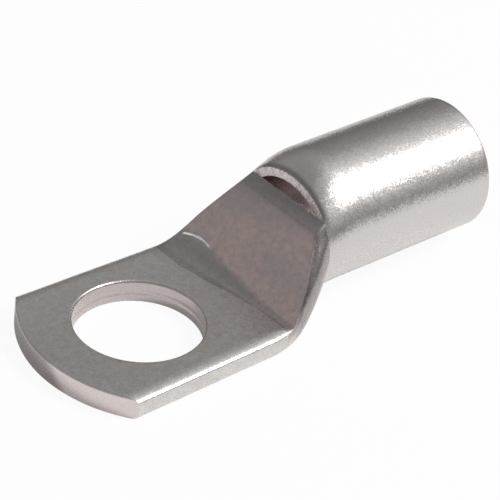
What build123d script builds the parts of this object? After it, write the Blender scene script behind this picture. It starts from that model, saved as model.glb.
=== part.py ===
from build123d import *
from math import asin, copysign, degrees, radians, tan
import os

# A tube cable lug: one length of tinned copper tube, pressed flat at one end into
# a palm with a stud hole, and left round at the other end for the cable.
# X runs from the stud hole to the mouth of the barrel, Z up from the palm's
# underside, and the origin is the centre of the stud hole.

# The tube
barrel_diameter = 14.0     # outside, where it is left round
wall = 1.2
barrel_lift = 0.35         # the barrel clears the plane of the palm's underside
hole_to_mouth = 39.85      # stud hole centre to the open end of the barrel
mouth_bevel = 0.4          # inside edge of the mouth, to lead the strands in
mouth_break = 0.15         # outside edge of the mouth

# The palm
stud_hole = 13.0           # clears a 12 mm stud
palm_width = 19.55         # across the palm at the stud hole
palm_spread = 0.02         # each side opens this much per mm towards the tip
hole_to_tip = 11.25
tip_radius = 15.0          # the end is cropped to an arc
edge_round = 0.8           # upper long edges, where the tube folds over
belly_round = 0.6          # lower long edges
shear_roll = 0.2           # upper edges, rolled over by the punch and the crop

# The sight opening, where the press shears the top of the tube
hole_to_window = 18.0
sill_height = 10.5         # top of the ramp at the shear, above the underside
lip_height = 13.05         # top of the tube at the shear, drawn down by the press
lip_floor = 0.4            # underside of the tube at the shear
lip_half_width = 6.8       # widest there
lip_wall = 1.0             # the sheared lip is drawn thinner than the wall
lip_run = 4.0              # the tube is round again this far past the shear
belly_flat = 0.4           # half the flat left under the tube at the shear

# The ramp from the palm up to the sight opening
ramp_angle = 56.0
crest_angle = 29.0         # it flattens towards the shear
crest_run = 1.2
toe_radius = 4.0           # hollow bend between palm and ramp
crest_radius = 4.0         # rounded bend at the top of the ramp
crease_flat = 0.12         # long edges of the ramp, rubbed flat
width_pace = 2.2           # how late the palm's sides draw in to the tube
height_pace = 1.5          # how late the tube rises
belly_pace = 2.6           # how late the flat under the palm narrows

# How far a cut runs past what it cuts
past = 3.0

# Sizes that follow from these
palm_thickness = 2 * wall  # the two walls of the tube, pressed together
barrel_radius = barrel_diameter / 2
bore_radius = barrel_radius - wall
barrel_centre = barrel_lift + barrel_radius
crest_x = hole_to_window - crest_run
crest_z = sill_height - crest_run * tan(radians(crest_angle))
toe_x = crest_x - (crest_z - palm_thickness) / tan(radians(ramp_angle))
root_x = toe_x - toe_radius * tan(radians(ramp_angle / 2))
round_x = hole_to_window + lip_run
lip_half_height = (lip_height - lip_floor) / 2
lip_centre = (lip_height + lip_floor) / 2
tip_centre = tip_radius - hole_to_tip


def between(start, end, share):
    return start + (end - start) * share


def opening(x, pace):
    """How far the tube has opened at x: 0 on the palm, 1 at the shear."""
    return (max(x - root_x, 0) / (hole_to_window - root_x)) ** pace


def recovery(x):
    """How far the tube is round again at x: 0 at the shear, 1 at the end of the lip."""
    return 1 - (1 - (x - hole_to_window) / lip_run) ** 2


def palm_side(x):
    return palm_width / 2 - palm_spread * x


def half_width(x):
    """Half the width of the tube at x, across its widest line."""
    if x > hole_to_window:
        return between(lip_half_width, barrel_radius, recovery(x))
    return between(palm_side(x), lip_half_width, opening(x, width_pace))


def widest_line(x):
    """Height of the widest line of the tube at x."""
    if x > hole_to_window:
        return between(lip_centre, barrel_centre, recovery(x))
    return between(belly_round, lip_centre, opening(x, height_pace))


def half_height(x):
    if x > hole_to_window:
        return between(lip_half_height, barrel_radius, recovery(x))
    return lip_half_height


def skin(x, pressed_to=None, corner=0):
    """Outline of the tube: flat below, round at its sides and over the top, unless that
    is pressed flat, with its corners rubbed off."""
    width = half_width(x)
    centre = widest_line(x)
    floor = between(0, lip_floor, opening(x, height_pace))
    flat = between(width - belly_round, belly_flat, opening(x, belly_pace))
    if x > hole_to_window:
        floor = centre - half_height(x)
        flat = belly_flat
    upright = 90
    if pressed_to:
        upright = degrees(asin((pressed_to - corner - centre) / half_height(x)))
    with BuildSketch(Plane.YZ.offset(x)) as section:
        with BuildLine():
            Line((-flat, floor), (flat, floor))
            EllipticalCenterArc((flat, centre), width - flat, centre - floor, 270, arc_size=90)
            right = EllipticalCenterArc((0, centre), width, half_height(x), 0, arc_size=upright)
            left = EllipticalCenterArc((0, centre), width, half_height(x), 180, arc_size=-upright)
            if pressed_to:
                ledge = (right @ 1).X - corner
                Polyline(right @ 1, (ledge, pressed_to), (-ledge, pressed_to), left @ 1)
            EllipticalCenterArc((-flat, centre), width - flat, centre - floor, 180, arc_size=90)
        make_face()
    return section.sketch


def round_skin(x):
    """The round tube, in the same five stretches as the outline of the opened one."""
    lean = degrees(asin(belly_flat / barrel_radius))
    with BuildSketch(Plane.YZ.offset(x)) as section:
        with BuildLine():
            CenterArc((0, barrel_centre), barrel_radius, 270 - lean, 2 * lean)
            CenterArc((0, barrel_centre), barrel_radius, 270 + lean, 90 - lean)
            CenterArc((0, barrel_centre), barrel_radius, 0, 90)
            CenterArc((0, barrel_centre), barrel_radius, 90, 90)
            CenterArc((0, barrel_centre), barrel_radius, 180, 90 - lean)
        make_face()
    return section.sketch


def inner_wall(x):
    """Thickness of the tube at x: drawn thinner at the lip."""
    if x > hole_to_window:
        return between(lip_wall, wall, recovery(x))
    return between(wall, lip_wall, opening(x, height_pace))


def hollow_section(x):
    """Inside of the opened tube, before its roof and floor are pressed together."""
    with BuildSketch(Plane.YZ.offset(x)) as section:
        with Locations((0, widest_line(x))):
            Ellipse(half_width(x) - inner_wall(x), half_height(x) - inner_wall(x))
    return section.sketch


def round_section(x, radius):
    with BuildSketch(Plane.YZ.offset(x)) as section:
        with Locations((0, barrel_centre)):
            Circle(radius)
    return section.sketch


def sheared_edge(plane, edge, far):
    """Section of what a shear takes away, from its edge out to far, measured from its
    axis. The metal it leaves is rolled over at the top."""
    rolled = edge + copysign(shear_roll, edge - far)
    with BuildSketch(plane) as section:
        with BuildLine():
            cut = Line((edge, -past), (edge, palm_thickness - shear_roll))
            roll = TangentArc(cut @ 1, (rolled, palm_thickness), tangent=cut % 1)
            clear = palm_thickness + past
            Polyline(roll @ 1, (rolled, clear), (far, clear), (far, -past), cut @ 0)
        make_face()
    return section.sketch


# Side view of the press tool's face: hollow bend, ramp, rounded bend and sill
with BuildSketch(Plane.XZ) as tool:
    with BuildLine():
        toe = JernArc((root_x, palm_thickness), (1, 0), toe_radius, ramp_angle)
        bend = crest_radius * tan(radians(ramp_angle - crest_angle) / 2)
        slope = Line(toe @ 1, Vector(crest_x, crest_z) - (toe % 1) * bend)
        crest = JernArc(slope @ 1, slope % 1, crest_radius, crest_angle - ramp_angle)
        sill = Line(crest @ 1, (hole_to_window, sill_height))
        clear = sill_height + past
        Polyline(sill @ 1, (hole_to_window, clear), (root_x, clear), toe @ 0)
    make_face()

# The roof of the hollow lies one wall below that face
with BuildSketch(Plane.XZ) as roof:
    add(tool.sketch)
    offset(amount=wall, kind=Kind.INTERSECTION)
    split(bisect_by=Plane.YZ.offset(hole_to_window), keep=Keep.BOTTOM)

ramp_stations = [between(root_x, hole_to_window, share) for share in (0, 0.35, 0.7, 1)]
lip_stations = [between(hole_to_window, round_x, share) for share in (0, 0.3, 0.65)]

# The space inside the tube: a wedge that closes at the palm, then the round bore
with BuildPart() as hollow:
    loft([hollow_section(x) for x in ramp_stations])
    with BuildSketch(Plane.XY.offset(wall)):
        Rectangle(4 * hole_to_window, 2 * palm_width)
    extrude(amount=-barrel_diameter, mode=Mode.SUBTRACT)
    extrude(roof.sketch, amount=palm_width, both=True, mode=Mode.SUBTRACT)
    loft([hollow_section(x) for x in lip_stations + [round_x]])
    extrude(round_section(round_x, bore_radius), amount=hole_to_mouth - round_x)

with BuildPart() as lug:
    # The palm, longer than it will be
    with BuildSketch():
        with BuildLine():
            Polyline(
                (root_x, -palm_side(root_x)),
                (root_x, palm_side(root_x)),
                (-hole_to_tip - past, palm_side(-hole_to_tip - past)),
                (-hole_to_tip - past, -palm_side(-hole_to_tip - past)),
                close=True,
            )
        make_face()
    extrude(amount=palm_thickness)
    by_height = lug.edges().filter_by(Axis.Z, reverse=True).group_by(Axis.Z)
    fillet(by_height[-1].filter_by(Axis.Y, reverse=True), radius=edge_round)
    fillet(by_height[0].filter_by(Axis.Y, reverse=True), radius=belly_round)

    # The ramp, from the palm's end up the tool's face to the shear
    ramp = [lug.faces().sort_by(Axis.X)[-1]]
    for point in (toe @ 0.5, toe @ 1, slope @ 0.5, slope @ 1, crest @ 1, sill @ 1):
        fade = min((point.X - root_x) / ((toe @ 1).X - root_x), 1)
        ramp.append(skin(point.X, point.Y, between(edge_round, crease_flat, fade)))
    loft(ramp)

    # The lip of the sight opening, and the round barrel
    loft([skin(x) for x in lip_stations] + [round_skin(round_x)])
    extrude(round_section(round_x, barrel_radius), amount=hole_to_mouth - round_x)
    mouth = lug.edges().filter_by(GeomType.CIRCLE).sort_by(Axis.X)[-1]
    chamfer(mouth, length=mouth_break)
    add(hollow.part, mode=Mode.SUBTRACT)
    bore_edge = lug.faces().sort_by(Axis.X)[-1].inner_wires()[0].edges()
    chamfer(bore_edge, length=mouth_bevel)

    # The punched stud hole and the cropped end
    revolve(sheared_edge(Plane.XZ, stud_hole / 2, 0), axis=Axis.Z, mode=Mode.SUBTRACT)
    revolve(
        sheared_edge(Plane.YZ.offset(tip_centre), tip_radius, tip_radius + palm_width),
        axis=Axis((tip_centre, 0, 0), (0, 0, 1)),
        revolution_arc=180,
        mode=Mode.SUBTRACT,
    )

os.makedirs("parts", exist_ok=True)
lug.part.label = "cable_lug"
export_step(lug.part, "parts/cable_lug.step")
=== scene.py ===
from math import cos, pi, radians, sin, tan

import bpy
from mathutils import Matrix, Vector


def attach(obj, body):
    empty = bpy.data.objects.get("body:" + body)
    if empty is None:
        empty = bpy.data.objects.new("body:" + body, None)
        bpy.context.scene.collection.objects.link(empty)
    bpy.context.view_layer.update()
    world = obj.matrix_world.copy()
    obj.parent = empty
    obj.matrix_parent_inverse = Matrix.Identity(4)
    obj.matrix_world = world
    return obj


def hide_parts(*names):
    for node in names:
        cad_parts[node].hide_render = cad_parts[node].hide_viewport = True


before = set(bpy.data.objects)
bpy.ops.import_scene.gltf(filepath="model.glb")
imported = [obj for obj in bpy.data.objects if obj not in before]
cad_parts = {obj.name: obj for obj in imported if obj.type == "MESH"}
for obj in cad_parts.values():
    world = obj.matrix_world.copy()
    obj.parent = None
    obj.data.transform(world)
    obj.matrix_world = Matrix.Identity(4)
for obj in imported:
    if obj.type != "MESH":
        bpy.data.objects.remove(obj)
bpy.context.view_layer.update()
print("frame loaded")

mm = 0.001


# A node tree. Every node but Math comes from its one method: the settings are set
# first, then the values and links of the sockets.
class Tree:
    def __init__(self, nodeTree):
        self.nodeTree = nodeTree

    def node(self, kind, settings=None, sockets=None, out=0):
        node = self.nodeTree.nodes.new(kind)
        for name, value in (settings or {}).items():
            setattr(node, name, value)
        for name, value in (sockets or {}).items():
            for each in value if isinstance(value, list) else [value]:
                if isinstance(each, Wire):
                    self.nodeTree.links.new(each.socket, node.inputs[name])
                else:
                    node.inputs[name].default_value = each
        return Wire(self, node.outputs[out]) if len(node.outputs) else None


# One output of a node. Sums, products and powers of it add their Math nodes.
class Wire:
    def __init__(self, tree, socket):
        self.tree = tree
        self.socket = socket

    def maths(self, operation, *values):
        return self.tree.node('ShaderNodeMath', {'operation': operation}, dict(enumerate(values)))

    def __add__(self, other):
        return self.maths('ADD', self, other)

    def __radd__(self, other):
        return self.maths('ADD', other, self)

    def __sub__(self, other):
        return self.maths('SUBTRACT', self, other)

    def __rsub__(self, other):
        return self.maths('SUBTRACT', other, self)

    def __mul__(self, other):
        return self.maths('MULTIPLY', self, other)

    def __rmul__(self, other):
        return self.maths('MULTIPLY', other, self)

    def __truediv__(self, other):
        return self.maths('DIVIDE', self, other)

    def __pow__(self, other):
        return self.maths('POWER', self, other)

    def __abs__(self):
        return self.maths('ABSOLUTE', self)

    def __lt__(self, other):
        return self.maths('LESS_THAN', self, other)

    def __gt__(self, other):
        return self.maths('GREATER_THAN', self, other)

    def atLeast(self, low):
        return self.maths('MAXIMUM', self, low)

    def atMost(self, high):
        return self.maths('MINIMUM', self, high)

    def within(self, low, high):
        return self.atLeast(low).atMost(high)

    def rising(self, low, high):                     # 0 at low, 1 at high
        return ((self - low) / (high - low)).within(0, 1)

    def near(self, middle, reach):                   # 1 at the middle, 0 at its reach
        return (1 - abs(self - middle) / reach).atLeast(0)

    def sine(self):
        return self.maths('SINE', self)

    def cosine(self):
        return self.maths('COSINE', self)

    def arcsine(self):
        return self.maths('ARCSINE', self)

    def root(self):
        return self.maths('SQRT', self.atLeast(0))

    def sign(self):
        return self.maths('SIGN', self)

    def rounded(self):
        return self.maths('ROUND', self)


def mix(start, end, share):
    return start + (end - start) * share


def pick(test, yes, no):                             # test is 1 or 0
    return test * yes + (1 - test) * no


def coordinates(vector):
    return [vector.tree.node('ShaderNodeSeparateXYZ', {}, {0: vector}, axis) for axis in range(3)]


def scaled(tree, vector, share):
    return tree.node('ShaderNodeVectorMath', {'operation': 'SCALE'}, {0: vector, 'Scale': share})


# The node tree of a material or a world, with nothing in it
def emptied(owner):
    owner.use_nodes = True
    owner.node_tree.nodes.clear()
    return Tree(owner.node_tree)


# The camera: fitted to the outline, the stud hole and the barrel's end
view = {
    'target': (18.0, 0.0, 4.0),          # mm
    'azimuth': 226.194,                  # where the camera stands, round from +X, degrees
    'elevation': 34.323,
    'roll': 6.818,
    'distance': 244.185,                 # mm
    'aside': (-3.166, 0.036),            # mm across and up the picture
    'focal': 2428.7 / 500,               # focal length over the picture's width
    'sensor': 36.0,
    'clip': (0.01, 20),                  # m
}


def makeCamera():
    turn, lift, roll = (radians(view[key]) for key in ('azimuth', 'elevation', 'roll'))
    back = Vector((cos(lift) * cos(turn), cos(lift) * sin(turn), sin(lift)))
    right = Vector((0, 0, 1)).cross(back).normalized()
    up = back.cross(right)
    rightRolled = right * cos(roll) + up * sin(roll)
    upRolled = up * cos(roll) - right * sin(roll)
    across, above = view['aside']
    place = Vector(view['target']) + rightRolled * across + upRolled * above + back * view['distance']
    lens = bpy.data.cameras.new('camera')
    lens.sensor_width = view['sensor']
    lens.lens = view['focal'] * view['sensor']
    lens.clip_start, lens.clip_end = view['clip']
    camera = bpy.data.objects.new('camera', lens)
    turned = Matrix((rightRolled, upRolled, back)).transposed().to_4x4()
    camera.matrix_world = Matrix.Translation(place * mm) @ turned
    bpy.context.scene.collection.objects.link(camera)
    bpy.context.scene.camera = camera


makeCamera()
print("camera placed")

# The lug's sizes in mm, as the press leaves it. X runs from the stud hole to the mouth.
lugSizes = {
    'palmThickness': 2.4,
    'palmWidth': 19.55,
    'palmSpread': 0.02,                  # each side, per mm towards the tip
    'edgeDepth': 0.5,                    # the palm's upper edge, where the tube folds over
    'edgeReach': 1.5,
    'creaseDepth': 0.12,                 # the same edge on the ramp
    'creaseReach': 0.2,
    'creaseRun': 3.3,                    # from the one to the other, along X
    'bellyRound': 0.6,
    'holeRadius': 6.5,
    'holeToTip': 11.25,
    'tipRadius': 15.0,
    'shearRoll': 0.28,
    'seamHeight': 1.0,                   # where the two walls of the palm meet in the hole
    'seamDepth': 0.035,
    'seamWidth': 0.34,
    'seamStep': 0.04,                    # the lower wall stands proud by this much
    'windowX': 18.0,
    'sillHeight': 10.5,
    'lipHeight': 13.05,
    'lipFloor': 0.4,
    'lipHalfWidth': 6.8,
    'lipWall': 1.0,
    'lipRun': 4.0,
    'lipRoll': 0.3,                      # the lip's outer edge, drawn down by the press
    'lipTuck': 0.6,                      # how far it is drawn down, over its roll
    'lipTuckRise': 1.2,                  # from nothing at the sill to this much above it
    'bellyFlat': 0.4,
    'toeRadius': 4.0,
    'toeTight': 0.9,                     # the same bend at the near side
    'toeSide': 6.5,                      # where each of the two begins, from the middle
    'crestRadius': 4.0,
    'crestRun': 1.2,
    'wall': 1.2,
    'barrelRadius': 7.0,
    'barrelCentre': 7.35,
    'mouthX': 39.85,
    'mouthBreak': 0.15,
    'mouthBevel': 0.4,
    'ripple': 0.02,                      # depth of the press marks
    'rippleScale': 0.3,                  # marks per mm
}
rampAngle = radians(56)
crestAngle = radians(29)
crispAngle = radians(32)                 # edges sharper than this are shaded sharp
pace = {'width': 2.2, 'height': 1.5, 'belly': 2.6}   # how late each starts from the palm
points = {'pressed': 170, 'open': 80, 'rim': 4, 'around': 240, 'hollow': 60, 'inside': 120,
          'level': 56, 'roll': 10, 'post': 200}
crowded = {'open': 1.5, 'inside': 1.3}   # powers by which the rows crowd towards the shear
palmShare = 0.3                          # of the pressed rows that lie on the palm
sideShare = 0.34                         # of the points over the top that lie on the sides
bellyShare = 1.6                         # points for a mm of the rounded belly, over the flat's
bellySpare = 0.8                         # and mm added to it, so that it always has some
stepReach = (-0.1, 0.3)                  # the step in the hole, from above the seam to below it
marksReach = (0.3, 0.7)                  # of the noise, from no press mark to a full one
tightFrom = 0.4                          # the tight bend begins at this share of the height
past = 3.0                               # how far a cutter runs past the metal
below = -0.6
wedgeLead = 0.7                          # the wedge between the walls begins past the palm
overlap = 0.01                           # cutters that meet run this far into each other
joined = 0.0005                          # points nearer than this are one point


# A grid to be wound round an axis. It gives each point's row, and how far round it is,
# from 0 to 1.
def windingGrid(tree, rows, around):
    grid = tree.node('GeometryNodeMeshGrid', {}, {
        'Size X': 1.0, 'Size Y': 1.0, 'Vertices X': rows, 'Vertices Y': around + 1})
    across, along, _ = coordinates(tree.node('GeometryNodeInputPosition'))
    return grid, ((across + 0.5) * (rows - 1)).rounded(), along + 0.5


# The first and last rows shrink to a point: 0 there, and 1 on all the others
def keptRows(row, rows):
    return (row > 0.5) * (row < rows - 1.5)


# Moves the grid's points to x, y, z and closes its seam and ends
def wound(tree, grid, x, y, z):
    place = tree.node('ShaderNodeCombineXYZ', {}, {0: x, 1: y, 2: z})
    moved = tree.node('GeometryNodeSetPosition', {}, {'Geometry': grid, 'Position': place})
    outward = tree.node('GeometryNodeFlipFaces', {}, {0: moved})
    return tree.node('GeometryNodeMergeByDistance', {}, {'Geometry': outward, 'Distance': joined})


# Side view of the press tool: where the ramp's line meets the palm, and where it meets
# the sill's line
def toolCorners(s):
    crestX = s['windowX'] - s['crestRun']
    crestZ = s['sillHeight'] - s['crestRun'] * tan(crestAngle)
    toeX = crestX - (crestZ - s['palmThickness']) / tan(rampAngle)
    return toeX, crestX, crestZ


# Where the palm ends and the bend begins
def palmEnd(s):
    toeX, _, _ = toolCorners(s)
    return toeX - s['toeRadius'] * tan(rampAngle / 2)


# The height at x of the press tool's face, or of a surface that lies inset below it:
# hollow bend, ramp, rounded bend and sill
def toolFace(x, s, inset):
    toe = s['toeRadius'] + inset
    crest = s['crestRadius'] - inset
    toeX, crestX, crestZ = toolCorners(s)
    rootX = palmEnd(s)
    tangent = s['crestRadius'] * tan((rampAngle - crestAngle) / 2)
    bendX = crestX - tangent * cos(rampAngle) + s['crestRadius'] * sin(rampAngle)
    bendZ = crestZ - tangent * sin(rampAngle) - s['crestRadius'] * cos(rampAngle)
    toeRun = (x - rootX).within(0, toe * sin(rampAngle))
    browRun = (x - bendX).within(crest * -sin(rampAngle), 0)
    hollow = s['palmThickness'] - inset + toe - (toe ** 2 - toeRun ** 2).root()
    slope = s['palmThickness'] + (x - toeX) * tan(rampAngle) - inset / cos(rampAngle)
    brow = bendZ + (crest ** 2 - browRun ** 2).root()
    sill = s['sillHeight'] - (s['windowX'] - x) * tan(crestAngle) - inset / cos(crestAngle)
    upper = pick(x < bendX - crest * sin(crestAngle), brow, sill)
    upper = pick(x < bendX - crest * sin(rampAngle), slope, upper)
    return pick(x < rootX + toe * sin(rampAngle), hollow, upper)


# The section of the tube at x. The pressed rows go from palm to lip, and the open rows
# from lip to barrel.
def tubeSection(x, isOpen, s):
    rootX = palmEnd(s)
    opened = ((x - rootX) / (s['windowX'] - rootX)).within(0, 1)
    healed = 1 - (1 - (x - s['windowX']).within(0, s['lipRun']) / s['lipRun']) ** 2
    lipHalf = (s['lipHeight'] - s['lipFloor']) / 2
    lipCentre = (s['lipHeight'] + s['lipFloor']) / 2
    side = s['palmWidth'] / 2 - s['palmSpread'] * x
    return {
        'width': pick(isOpen, mix(s['lipHalfWidth'], s['barrelRadius'], healed),
                      mix(side, s['lipHalfWidth'], opened ** pace['width'])),
        'centre': pick(isOpen, mix(lipCentre, s['barrelCentre'], healed),
                       mix(s['bellyRound'], lipCentre, opened ** pace['height'])),
        'half': pick(isOpen, mix(lipHalf, s['barrelRadius'], healed), lipHalf),
        'floor': pick(isOpen, mix(s['lipFloor'], s['barrelCentre'] - s['barrelRadius'], healed),
                      s['lipFloor'] * opened ** pace['height']),
        'flat': pick(isOpen, s['bellyFlat'] * (1 - healed),
                     mix(side - s['bellyRound'], s['bellyFlat'], opened ** pace['belly'])),
        'wall': pick(isOpen, mix(s['lipWall'], s['wall'], healed),
                     mix(s['wall'], s['lipWall'], opened ** pace['height'])),
    }


# The outside, from beyond the tip to the mouth, as one closed skin
def outerSkin(tree, s):
    pressed, opened, rim = points['pressed'], points['open'], points['rim']
    rows = 1 + pressed + opened + rim + 1
    grid, row, turn = windingGrid(tree, rows, points['around'])
    isOpen = row > pressed + 0.5
    kept = keptRows(row, rows)
    rootX = palmEnd(s)
    along = (row - 1).rising(0, pressed - 1)
    tailX = s['holeToTip'] * -1 - past
    palmX = mix(tailX, rootX, along.rising(0, palmShare))
    pressedX = palmX + (s['windowX'] - rootX) * along.rising(palmShare, 1)
    openRun = s['mouthX'] - s['mouthBreak'] - s['windowX']
    openX = s['windowX'] + openRun * (row - pressed - 1).rising(0, opened - 1) ** crowded['open']
    x = pick(isOpen, openX, pressedX)
    tube = tubeSection(x, isOpen, s)
    top = pick(isOpen, s['sillHeight'], toolFace(x, s, 0))
    brink = (row - pressed - opened).rising(0, rim) * (pi / 2)
    shrink = s['mouthBreak'] * (1 - brink.cosine())
    x = x + s['mouthBreak'] * brink.sine()
    width = tube['width'] - shrink
    half = tube['half'] - shrink
    centre = tube['centre']
    floor = tube['floor'] + shrink
    # upper half: up the side, then over the top, where the tool has pressed it flat
    overTop = turn * 4 - 1                           # -1 and 1 at the sides, 0 at the top
    rise = 1 - abs(overTop)
    upright = ((top - centre) / half).within(0, 1).arcsine()
    share = (upright / (pi / 2)).atLeast(sideShare)
    climb = (rise / share).within(0, 1)
    crossing = ((rise - share) / (1 - share)).within(0, 1)
    angle = upright * (1 - (1 - climb) ** 2) + (pi / 2 - upright) * crossing
    onSide = angle.atMost(upright).cosine()
    arched = centre + half * angle.sine()
    upperZ = pick(isOpen, arched, arched.atMost(top))
    fade = (x - rootX).rising(0, s['creaseRun'])
    folded = ((upperZ - top) / mix(s['edgeDepth'], s['creaseDepth'], fade) + 1).within(0, 1)
    pull = mix(s['edgeReach'], s['creaseReach'], fade) * (1 - (1 - folded ** 2).root()) * (1 - isOpen)
    upperY = (width / mix(onSide, 1, fade) - pull / onSide) * angle.cosine()
    # the lip's edge is drawn down
    nearLip = (1 - (x - s['windowX']) / s['lipRoll']).within(0, 1) * isOpen
    drawn = s['lipRoll'] * s['lipTuck'] * (1 - (1 - nearLip ** 2).root())
    tuck = drawn * (upperZ - s['sillHeight']).rising(0, s['lipTuckRise'])
    upperY = upperY * (1 - tuck / half) * overTop.sign() * -1
    upperZ = upperZ - (upperZ - centre) * tuck / half
    # lower half: a flat with a quarter ellipse at each side
    under = turn * 4 - 3                             # -1 and 1 at the sides, 0 in the middle
    flat = tube['flat']
    flatShare = flat / (flat + (width - flat) * bellyShare + bellySpare)
    lean = ((abs(under) - flatShare) / (1 - flatShare)).within(0, 1) * (pi / 2)
    onFlat = flat * (under / flatShare.atLeast(0.001)).within(-1, 1)
    lowerY = onFlat + under.sign() * (width - flat) * lean.sine()
    lowerZ = centre - (centre - floor) * lean.cosine()
    isUpper = turn < 0.5
    y = pick(isUpper, upperY, lowerY) * kept
    # the bend is tighter towards the near side
    toe = mix(s['toeTight'], s['toeRadius'], y.rising(s['toeSide'] * -1, s['toeSide']))
    tightTop = toolFace(x, {**s, 'toeRadius': toe}, 0)
    upperZ = upperZ - (top - tightTop) * (upperZ / top).rising(tightFrom, 1) * (1 - isOpen)
    z = mix(centre, pick(isUpper, upperZ, lowerZ), kept)
    skin = wound(tree, grid, x, y, z)
    # faint press marks, always inwards
    broad = tree.node('ShaderNodeTexNoise', {}, {
        'Vector': tree.node('GeometryNodeInputPosition'), 'Scale': s['rippleScale'],
        'Detail': 2.0, 'Roughness': 0.5})
    depth = broad.rising(*marksReach) * s['ripple'] * -1
    shove = scaled(tree, tree.node('GeometryNodeInputNormal'), depth)
    return tree.node('GeometryNodeSetPosition', {}, {'Geometry': skin, 'Offset': shove})


# The inside of the pressed tube, before its roof and floor are pressed together, or the
# inside of the open tube with its bevelled mouth
def innerSkin(tree, s, isOpen):
    rows = points['hollow'] + 4
    grid, row, turn = windingGrid(tree, rows, points['inside'])
    kept = keptRows(row, rows)
    along = (row - 1).rising(0, points['hollow'] - 1)
    bevel = (row - points['hollow']).within(0, 1) * isOpen
    beyond = (row - points['hollow'] - 1).within(0, 1) * isOpen
    if isOpen:
        x = mix(s['windowX'], s['mouthX'] - s['mouthBevel'], along ** crowded['inside'])
    else:
        x = mix(palmEnd(s), s['windowX'] + overlap, along)
    tube = tubeSection(x, isOpen, s)
    grow = s['mouthBevel'] * bevel - tube['wall']
    angle = turn * (2 * pi)
    x = x + s['mouthBevel'] * bevel + past * beyond
    y = (tube['width'] + grow) * angle.cosine() * kept
    z = tube['centre'] + (tube['half'] + grow) * angle.sine() * kept
    return wound(tree, grid, x, y, z)


# What the press leaves between roof and floor: from one wall above the underside to one
# wall below the tool's face
def pressedSpace(tree, s):
    rows = points['hollow'] * 2
    grid, row, turn = windingGrid(tree, rows, 4)
    kept = keptRows(row, rows)
    x = mix(palmEnd(s) + wedgeLead, s['windowX'] + overlap * 2, (row - 1).rising(0, rows - 3))
    roof = toolFace(x, s, s['wall'])
    corner = turn * (2 * pi) + pi / 4
    y = corner.cosine().sign() * s['palmWidth'] * kept
    z = mix(s['wall'], roof, mix(0.5, corner.sine() > 0, kept))
    return wound(tree, grid, x, y, z)


# An upright post, for the punch and for the crop of the tip. Its side is what the shear
# leaves: straight, then rolled over at the palm's upper face, outwards by a flare of 1.
# The stretch lengthens it towards the barrel, and a seam of 1 marks where the walls meet.
def shearPost(tree, s, centreX, radius, stretch, flare, seam, topZ):
    level, roll = points['level'], points['roll']
    rows = 1 + level + roll + 1 + 1
    grid, row, turn = windingGrid(tree, rows, points['post'])
    kept = keptRows(row, rows)
    over = (row - level).rising(0, roll) * (pi / 2)
    foot = mix(below, s['palmThickness'] - s['shearRoll'], (row - 1).rising(0, level - 1))
    groove = foot.near(s['seamHeight'], s['seamWidth'])
    groove = groove ** 2 * (3 - 2 * groove) * s['seamDepth']
    step = (s['seamHeight'] - foot).rising(*stepReach) * s['seamStep']
    side = radius + s['shearRoll'] * flare * (1 - over.cosine()) + (groove - step) * seam
    z = foot + s['shearRoll'] * over.sine() + (row > level + roll + 0.5) * (topZ - s['palmThickness'])
    angle = turn * (2 * pi)
    reach = pick(angle.cosine() > 0, side * stretch, side)
    return wound(tree, grid, centreX + reach * angle.cosine() * kept, side * angle.sine() * kept, z)


# The whole lug: the outside, less its hollow and its stud hole, cropped to the tip's arc
def lugTree():
    nodeTree = bpy.data.node_groups.new('pressed lug', 'GeometryNodeTree')
    sockets = nodeTree.interface
    sockets.new_socket('Geometry', in_out='OUTPUT', socket_type='NodeSocketGeometry')
    sockets.new_socket('Geometry', in_out='INPUT', socket_type='NodeSocketGeometry')
    kinds = {name: 'NodeSocketFloat' for name in lugSizes}
    kinds['metal'] = 'NodeSocketMaterial'
    identifiers = {name: sockets.new_socket(name, in_out='INPUT', socket_type=kind).identifier
                   for name, kind in kinds.items()}
    tree = Tree(nodeTree)
    given = nodeTree.nodes.new('NodeGroupInput')
    s = {name: Wire(tree, given.outputs[name]) for name in identifiers}

    def boolean(operation, first, others):
        meshes = {'Mesh 1': first, 'Mesh 2': others} if first else {'Mesh 2': others}
        return tree.node('GeometryNodeMeshBoolean', {'operation': operation, 'solver': 'MANIFOLD'}, meshes)

    wedge = boolean('INTERSECT', None, [innerSkin(tree, s, 0), pressedSpace(tree, s)])
    punch = shearPost(tree, s, centreX=0, radius=s['holeRadius'], stretch=1, flare=1, seam=1,
                      topZ=s['palmThickness'] + past)
    crop = shearPost(tree, s, centreX=s['tipRadius'] - s['holeToTip'], radius=s['tipRadius'],
                     stretch=4, flare=-1, seam=0, topZ=s['barrelRadius'] * 3)
    cropped = boolean('INTERSECT', None, [outerSkin(tree, s), crop])
    cut = boolean('DIFFERENCE', cropped, [wedge, innerSkin(tree, s, 1), punch])
    smooth = tree.node('GeometryNodeSetShadeSmooth', {'domain': 'FACE'}, {0: cut, 'Shade Smooth': True})
    isCrisp = tree.node('GeometryNodeInputMeshEdgeAngle') > crispAngle
    crisp = tree.node('GeometryNodeSetShadeSmooth', {'domain': 'EDGE'}, {
        0: smooth, 'Selection': isCrisp, 'Shade Smooth': False})
    sized = tree.node('GeometryNodeTransform', {}, {'Geometry': crisp, 'Scale': (mm, mm, mm)})
    real = tree.node('GeometryNodeRealizeInstances', {}, {0: sized})
    finished = tree.node('GeometryNodeSetMaterial', {}, {'Geometry': real, 'Material': s['metal']})
    tree.node('NodeGroupOutput', {}, {0: finished})
    return nodeTree, identifiers


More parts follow.
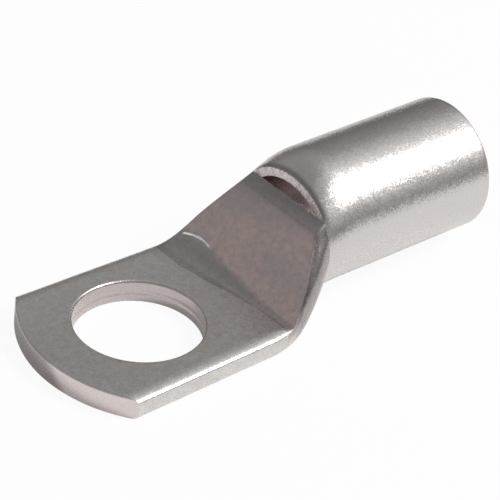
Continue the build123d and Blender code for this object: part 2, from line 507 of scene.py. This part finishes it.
# Where each part of the finish and of the painted shade lies, in mm. A pair says where it begins and where
# it is
# full, and a depth is measured below the line of the ramp and the sill.
zones = {
    'palmLitSide': (2.0, 8.0),              # y, where painted light makes the palm a little lighter
    'palmLitSideEnd': 8.0,                  # x
    'barrel': (15.0, 18.0),              # x, from the palm's tin to the barrel's
    'bendFar': (9.0, 12.4),              # x of the painted shade in the bend, from and to, on the far side
    'bendNear': (11.1, 11.5),            # and on the near side
    'bendSides': (-4.5, 5.0),            # y of the near and the far side
    'bendEdge': (0.0, 0.15),             # x past its beginning
    'bendFoot': (1.3, 1.9),              # z, as the underside has none
    'bendTop': 5.0,
    'bendDepth': (0.6, 0.3),
    'rampEdge': (-0.1, 0.35),            # x past the end of the bend
    'rampDepth': (0.3, 0.1),
    'rampTopShade': (16.4, 18.6),             # x of the painted shade at the top of the ramp
    'rampTopSlant': 0.12,                # along X for a mm of Y
    'rampTopStray': 2.0,                 # along X with the cloud
    'rampEdgeStray': 0.3,                # in depth with the mottle
    'bendStray': 0.5,                    # share of the way across, with the cloud
    'besideRamp': (0.2, 1.5),            # x past the end of the bend
    'flankDepth': (0.15, 0.4),
    'flankEnd': (4.2, 2.0),
    'creaseDepth': (0.06, 0.18),
    'creaseEnd': (0.7, 0.4),
    'shear': 0.04,                       # half the width of the sheared rim, along x
    'shearHeight': 10.2,
    'lipShade': (18.6, 18.2),            # x of the painted shade in a band behind the lip
    'lipShadeHeight': (9.5, 10.8),
    'lipReach': 6.4,                     # the outside of the lip, from the tube's axis
    'insideShare': 0.92,                 # what lies within this share of it is the inside
    'holeReach': (6.72, 6.6),            # from the stud hole's axis
    'holeHeight': (2.42, 2.3),
    'tipReach': (14.7, 14.85),           # from the centre of the tip's arc
    'tipHeight': (2.4, 2.25),
    'tipShadow': (-3.5, -2.0),             # y, where the painted shadow on the cropped face begins
    'tipShadowSlant': 0.92,                # along Y for a mm of height
}
# A painted highlight on a short crease at the end of the bend, from its far end to its near end
glints = {
    'fromTo': (8.46, 4.4),               # y
    'startX': 12.2,
    'slant': 0.28,                       # x gained along it
    'bow': 1.1,                          # x gained in its middle, times four
    'width': (0.24, 0.14),               # to each side, at its far and near end
    'farEnd': (8.8, 8.4),                # y
    'nearEnd': (3.8, 5.0),
    'bottom': 2.3,                       # z
    'edge': (0.2, 0.7),
    'lean': (0.3, -0.9, 0.3),            # its face leans towards the light
}
# Colours of the tin, by place, with painted shade and a painted highlight where marked
tins = {
    'palm': (0.71, 0.69, 0.67),
    'palmWarm': (0.72, 0.665, 0.63),
    # painted shade: the tin in the bend, darkened to stand for its shade
    'bend': (0.50, 0.465, 0.455),
    'ramp': (0.555, 0.48, 0.475),
    'rampPale': (0.68, 0.52, 0.48),      # copper showing through
    # painted shade at the ramp's top, by the sight opening
    'rampTopShade': (0.41, 0.39, 0.38),
    # painted highlight on that crease
    'glint': (0.90, 0.88, 0.86),
    # painted shade, for the crease by the ramp and the band behind the lip
    'creaseShade': (0.26, 0.235, 0.225),
    'barrel': (0.71, 0.675, 0.655),
    'flankShade': (0.405, 0.375, 0.36),       # painted shade beside the ramp
    'cut': (0.78, 0.705, 0.69),          # the cropped tip
    'cutShadowed': (0.46, 0.42, 0.41),       # its far half, in a painted reflection of the lug's shadow
    'punched': (0.57, 0.51, 0.50),       # the stud hole's sheared copper, darkened by painted shade
    'rim': (0.42, 0.37, 0.37),
    'rimPale': (0.72, 0.65, 0.65),
    'inside': (0.54, 0.48, 0.465),
}
# The grain of the tin. A noise is its scale per mm, its detail and its roughness.
grains = {
    'grain': (6.0, 1.0, 0.5),
    'mottle': (1.3, 4.0, 0.6),
    'cloud': (0.24, 3.0, 0.5),
    'facets': 8.0,                       # per mm, each tilted its own way
    'tilt': 0.10,
    'tiltLost': 0.35,                    # share of it that is lost before the sight opening
    'tiltLostOnCuts': 0.8,
    'height': 0.000010,                  # m
    'mottleShade': (0.04, 0.34),         # on the barrel, and more on the pressed part
    'grainShade': (0.02, 0.20),
    'shadeLostOnCuts': 0.7,
    # painted light on the palm's far side
    'palmLitSide': 0.10,
    'warm': 0.8,                         # strength of the palm's warm patches
    'warmPatch': (0.45, 0.65),           # of the cloud, from none to full
    'copperPatch': (0.44, 0.54),
    'copperMottle': (0.3, 0.7),
    'rimPatch': (0.85, 1.15),            # of the mottle and the grain together
    'lipDark': 0.8,                      # strength of the painted shade behind the lip
    'roughness': (0.21, 0.09, 0.04),     # least, with the mottle and with the grain
}


def tinnedCopper():
    material = bpy.data.materials.new('tinned copper')
    tree = emptied(material)
    place = scaled(tree, tree.node('ShaderNodeTexCoord', {}, {}, 'Object'), 1 / mm)
    x, y, z = coordinates(place)

    def noise(scale, detail, roughness):
        return tree.node('ShaderNodeTexNoise', {}, {
            'Vector': place, 'Scale': scale, 'Detail': detail, 'Roughness': roughness})

    def tint(share, start, end):
        start = start if isinstance(start, Wire) else start + (1,)
        end = end if isinstance(end, Wire) else end + (1,)
        return tree.node('ShaderNodeMix', {'data_type': 'RGBA'}, {0: share, 6: start, 7: end}, 2)

    def vectors(operation, first, second):
        return tree.node('ShaderNodeVectorMath', {'operation': operation}, {0: first, 1: second})

    grain, mottle, cloud = (noise(*grains[name]) for name in ('grain', 'mottle', 'cloud'))
    windowX = lugSizes['windowX']
    beforeWindow = x < windowX - zones['shear'] / 2
    # palm and barrel
    palm = tint(cloud.rising(*grains['warmPatch']) * grains['warm'], tins['palm'], tins['palmWarm'])
    colour = tint(x.rising(*zones['barrel']), palm, tins['barrel'])
    # painted shade in the bend at the foot of the ramp, and the ramp
    _, crestX, crestZ = toolCorners(lugSizes)
    rampLine = crestZ + ((x - crestX) * tan(rampAngle)).atMost((x - crestX) * tan(crestAngle))
    depth = (rampLine - z) * cos(rampAngle) + (mottle - 0.5) * zones['rampEdgeStray']
    side = y.rising(*zones['bendSides']) + (cloud - 0.5) * zones['bendStray']
    bendStart, bendEnd = (mix(near, far, side) for near, far in zip(zones['bendNear'], zones['bendFar']))
    bendShadeMask = (x - bendStart).rising(*zones['bendEdge']) * (z < zones['bendTop'])
    bendShadeMask = bendShadeMask * z.rising(*zones['bendFoot']) * depth.rising(*zones['bendDepth']) * beforeWindow
    colour = tint(bendShadeMask, colour, tins['bend'])
    copper = cloud.rising(*grains['copperPatch']) * mottle.rising(*grains['copperMottle'])
    brown = tint(copper, tins['ramp'], tins['rampPale'])
    towardsTop = x + y * zones['rampTopSlant'] + cloud * zones['rampTopStray']
    # painted shade, darker towards the ramp's top
    brown = tint(towardsTop.rising(*zones['rampTopShade']), brown, tins['rampTopShade'])
    onRamp = (x - bendEnd).rising(*zones['rampEdge']) * depth.rising(*zones['rampDepth']) * beforeWindow
    colour = tint(onRamp, colour, brown)
    # beside it, painted shade on the flank, darker still along the crease at its top
    beside = (x - bendEnd).rising(*zones['besideRamp']) * beforeWindow
    flankShadeMask = depth.rising(*zones['flankDepth']) * depth.rising(*zones['flankEnd']) * beside
    colour = tint(flankShadeMask, colour, tins['flankShade'])
    creaseShadeMask = depth.rising(*zones['creaseDepth']) * depth.rising(*zones['creaseEnd']) * beside
    colour = tint(creaseShadeMask, colour, tins['creaseShade'])
    # painted highlight along a short crease at the end of the bend
    along = y.rising(*glints['fromTo'])
    glintX = glints['startX'] + glints['slant'] * along + glints['bow'] * along * (1 - along)
    glint = (x - glintX).near(0, mix(*glints['width'], along)) * (z > glints['bottom'])
    glint = glint * y.rising(*glints['nearEnd']) * y.rising(*glints['farEnd'])
    colour = tint(glint.rising(*glints['edge']), colour, tins['glint'])
    # round the sight opening: painted shade in a band behind it, the sheared rim and the inside
    shade = x.rising(*zones['lipShade']) * z.rising(*zones['lipShadeHeight']) * (1 - beforeWindow)
    colour = tint(shade * grains['lipDark'], colour, tins['creaseShade'])
    rim = tint((mottle + grain).rising(*grains['rimPatch']), tins['rim'], tins['rimPale'])
    colour = tint((abs(x - windowX) < zones['shear']) * (z > zones['shearHeight']), colour, rim)
    healed = 1 - (1 - x.rising(windowX, windowX + lugSizes['lipRun'])) ** 2
    lipCentre = (lugSizes['lipHeight'] + lugSizes['lipFloor']) / 2
    offAxis = (y ** 2 + (z - mix(lipCentre, lugSizes['barrelCentre'], healed)) ** 2).root()
    outside = mix(zones['lipReach'], lugSizes['barrelRadius'], healed)
    isInside = (x > windowX + zones['shear']) * (offAxis / outside < zones['insideShare'])
    colour = tint(isInside, colour, tins['inside'])
    # the punched hole, darkened by painted shade, and the cropped tip, with a painted shadow on its far
    # half
    tipX = lugSizes['tipRadius'] - lugSizes['holeToTip']
    inHole = (x ** 2 + y ** 2).root().rising(*zones['holeReach']) * z.rising(*zones['holeHeight'])
    onTip = ((x - tipX) ** 2 + y ** 2).root().rising(*zones['tipReach']) * (x < 0)
    onTip = onTip * z.rising(*zones['tipHeight'])
    # painted shade: the far half of the cropped face carries a painted reflection of the lug's shadow
    shadowedHalf = (y - z * zones['tipShadowSlant']).rising(*zones['tipShadow'])
    colour = tint(inHole, colour, tins['punched'])
    colour = tint(onTip, colour, tint(shadowedHalf, tins['cut'], tins['cutShadowed']))
    onCuts = (inHole + onTip).atMost(1)
    # painted light on the palm's far side, and the tin's mottle and grain
    pressed = beforeWindow * (1 - grains['shadeLostOnCuts'] * onCuts)
    mottleShade, grainShade = (low + high * pressed for low, high in
                               (grains['mottleShade'], grains['grainShade']))
    bright = 1 + grains['palmLitSide'] * y.rising(*zones['palmLitSide']) * (x < zones['palmLitSideEnd'])
    bright = bright + (mottle - 0.5) * mottleShade + (grain - 0.5) * grainShade
    leastRough, mottleRough, grainRough = grains['roughness']
    roughness = leastRough + mottleRough * mottle + grainRough * grain
    # every facet leans its own way, and the glint towards the light
    facet = tree.node('ShaderNodeTexVoronoi', {}, {'Vector': place, 'Scale': grains['facets']}, 'Color')
    tilt = grains['tilt'] * (0.5 + mottle) * (1 - grains['tiltLost'] * beforeWindow)
    tilt = tilt * (1 - grains['tiltLostOnCuts'] * (onCuts + isInside).atMost(1))
    lean = scaled(tree, vectors('SUBTRACT', facet, (0.5, 0.5, 0.5)), tilt)
    lean = vectors('ADD', lean, scaled(tree, glints['lean'], glint))
    leaning = vectors('ADD', tree.node('ShaderNodeNewGeometry', {}, {}, 'Normal'), lean)
    leaning = tree.node('ShaderNodeVectorMath', {'operation': 'NORMALIZE'}, {0: leaning})
    bump = tree.node('ShaderNodeBump', {}, {
        'Strength': 1.0, 'Distance': grains['height'], 'Height': grain + mottle, 'Normal': leaning})
    metal = tree.node('ShaderNodeBsdfPrincipled', {}, {
        'Base Color': scaled(tree, colour, bright), 'Metallic': 1.0, 'Roughness': roughness,
        'Normal': bump})
    tree.node('ShaderNodeOutputMaterial', {}, {'Surface': metal})
    return material


def makeLug():
    nodeTree, identifiers = lugTree()
    lug = bpy.data.objects.new('pressed_lug', bpy.data.meshes.new('start'))
    bpy.context.scene.collection.objects.link(lug)
    nodes = lug.modifiers.new('pressed lug', 'NODES')
    nodes.node_group = nodeTree
    for name, value in lugSizes.items():
        nodes[identifiers[name]] = value
    nodes[identifiers['metal']] = tinnedCopper()
    evaluated = lug.evaluated_get(bpy.context.evaluated_depsgraph_get())
    mesh = bpy.data.meshes.new_from_object(evaluated)
    lug.modifiers.clear()
    lug.data = mesh
    return lug


lug = makeLug()
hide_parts("cable_lug")
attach(lug, "root")
print("lug pressed:", len(lug.data.polygons), "faces")

# A round sheet of white paper under the lug, a grey room round it, and one soft light
studio = {
    'paperRadius': 0.17,                 # m
    'paperCorners': 96,
    'paperWhite': 0.9,
    'paperGlow': (0.93, 0.21),           # share of plain white that the camera and the metal see
    'wallsGlow': (1.0, 0.05),            # and in the room
    'walls': (0.085, 0.315),             # grey of the room, at floor level and overhead
    'wallsReach': (0.05, 0.75),          # sine of the height at which each begins
    'paleWall': 0.18,                    # the wall towards -X is paler by this much
    'paleWallSide': (0.5, -0.7),         # from and to, along X
    'paleWallTop': (0.75, 0.4),          # and in height
    'darkCeiling': 0.075,                # the ceiling there is darker by this much
    'darkCeilingSide': (0.4, -0.1),
    'darkCeilingFoot': (0.45, 0.8),
    'boxToward': (0.47, -0.45, 0.76),
    'boxDistance': 0.6,
    'boxSize': 0.20,
    'boxPower': 2.4,                     # W
    'haloToward': (0.61, -0.41, 0.68),
    'halo': 0.56,                        # glow on the wall beside the light
    'haloReach': (0.6, 1.0),             # cosine of the angle off it, at its edge and core
    'haloFoot': (-0.3, 0.6),
}


# How much plain white a ray sees: one from the camera, and one that metal or glass sends on
def whiteShare(tree, toCamera, toMetal):
    camera, glossy, through = [tree.node('ShaderNodeLightPath', {}, {}, name)
                               for name in ('Is Camera Ray', 'Is Glossy Ray', 'Is Transmission Ray')]
    return camera * toCamera + (glossy + through).atMost(1) * toMetal


def makePaper():
    angles = [2 * pi * corner / studio['paperCorners'] for corner in range(studio['paperCorners'])]
    radius = studio['paperRadius']
    edge = [(radius * cos(angle), radius * sin(angle), 0) for angle in angles]
    mesh = bpy.data.meshes.new('paper')
    mesh.from_pydata(edge, [], [range(len(edge))])
    paper = bpy.data.objects.new('paper', mesh)
    bpy.context.scene.collection.objects.link(paper)
    material = bpy.data.materials.new('white paper')
    tree = emptied(material)
    matt = tree.node('ShaderNodeBsdfDiffuse', {}, {'Color': (studio['paperWhite'],) * 3 + (1,)})
    glow = tree.node('ShaderNodeEmission', {}, {'Color': (1, 1, 1, 1), 'Strength': 1.0})
    share = whiteShare(tree, *studio['paperGlow'])
    surface = tree.node('ShaderNodeMixShader', {}, {0: share, 1: matt, 2: glow})
    tree.node('ShaderNodeOutputMaterial', {}, {'Surface': surface})
    mesh.materials.append(material)


def makeRoom():
    world = bpy.data.worlds.new('studio')
    tree = emptied(world)
    toward = tree.node('ShaderNodeTexCoord', {}, {}, 'Generated')
    east, _, height = coordinates(toward)
    grey = mix(*studio['walls'], height.rising(*studio['wallsReach']))
    pale = east.rising(*studio['paleWallSide']) * height.rising(*studio['paleWallTop'])
    dark = east.rising(*studio['darkCeilingSide']) * height.rising(*studio['darkCeilingFoot'])
    grey = grey + studio['paleWall'] * pale - studio['darkCeiling'] * dark
    offBox = tree.node('ShaderNodeVectorMath', {'operation': 'DOT_PRODUCT'}, {
        0: toward, 1: Vector(studio['haloToward']).normalized()}, 'Value')
    halo = offBox.rising(*studio['haloReach']) * height.rising(*studio['haloFoot'])
    grey = mix(grey + studio['halo'] * halo, 1, whiteShare(tree, *studio['wallsGlow']))
    walls = tree.node('ShaderNodeBackground', {}, {'Color': (1, 1, 1, 1), 'Strength': grey})
    tree.node('ShaderNodeOutputWorld', {}, {'Surface': walls})
    bpy.context.scene.world = world


def makeLight():
    softbox = bpy.data.lights.new('softbox', 'AREA')
    softbox.shape = 'SQUARE'
    softbox.size = studio['boxSize']
    softbox.energy = studio['boxPower']
    lamp = bpy.data.objects.new('softbox', softbox)
    toward = Vector(studio['boxToward']).normalized()
    lamp.location = Vector(view['target']) * mm + toward * studio['boxDistance']
    lamp.rotation_euler = toward.to_track_quat('Z', 'Y').to_euler()
    bpy.context.scene.collection.objects.link(lamp)


makePaper()
makeRoom()
makeLight()
bpy.context.scene.view_settings.view_transform = 'Standard'
print("studio set")
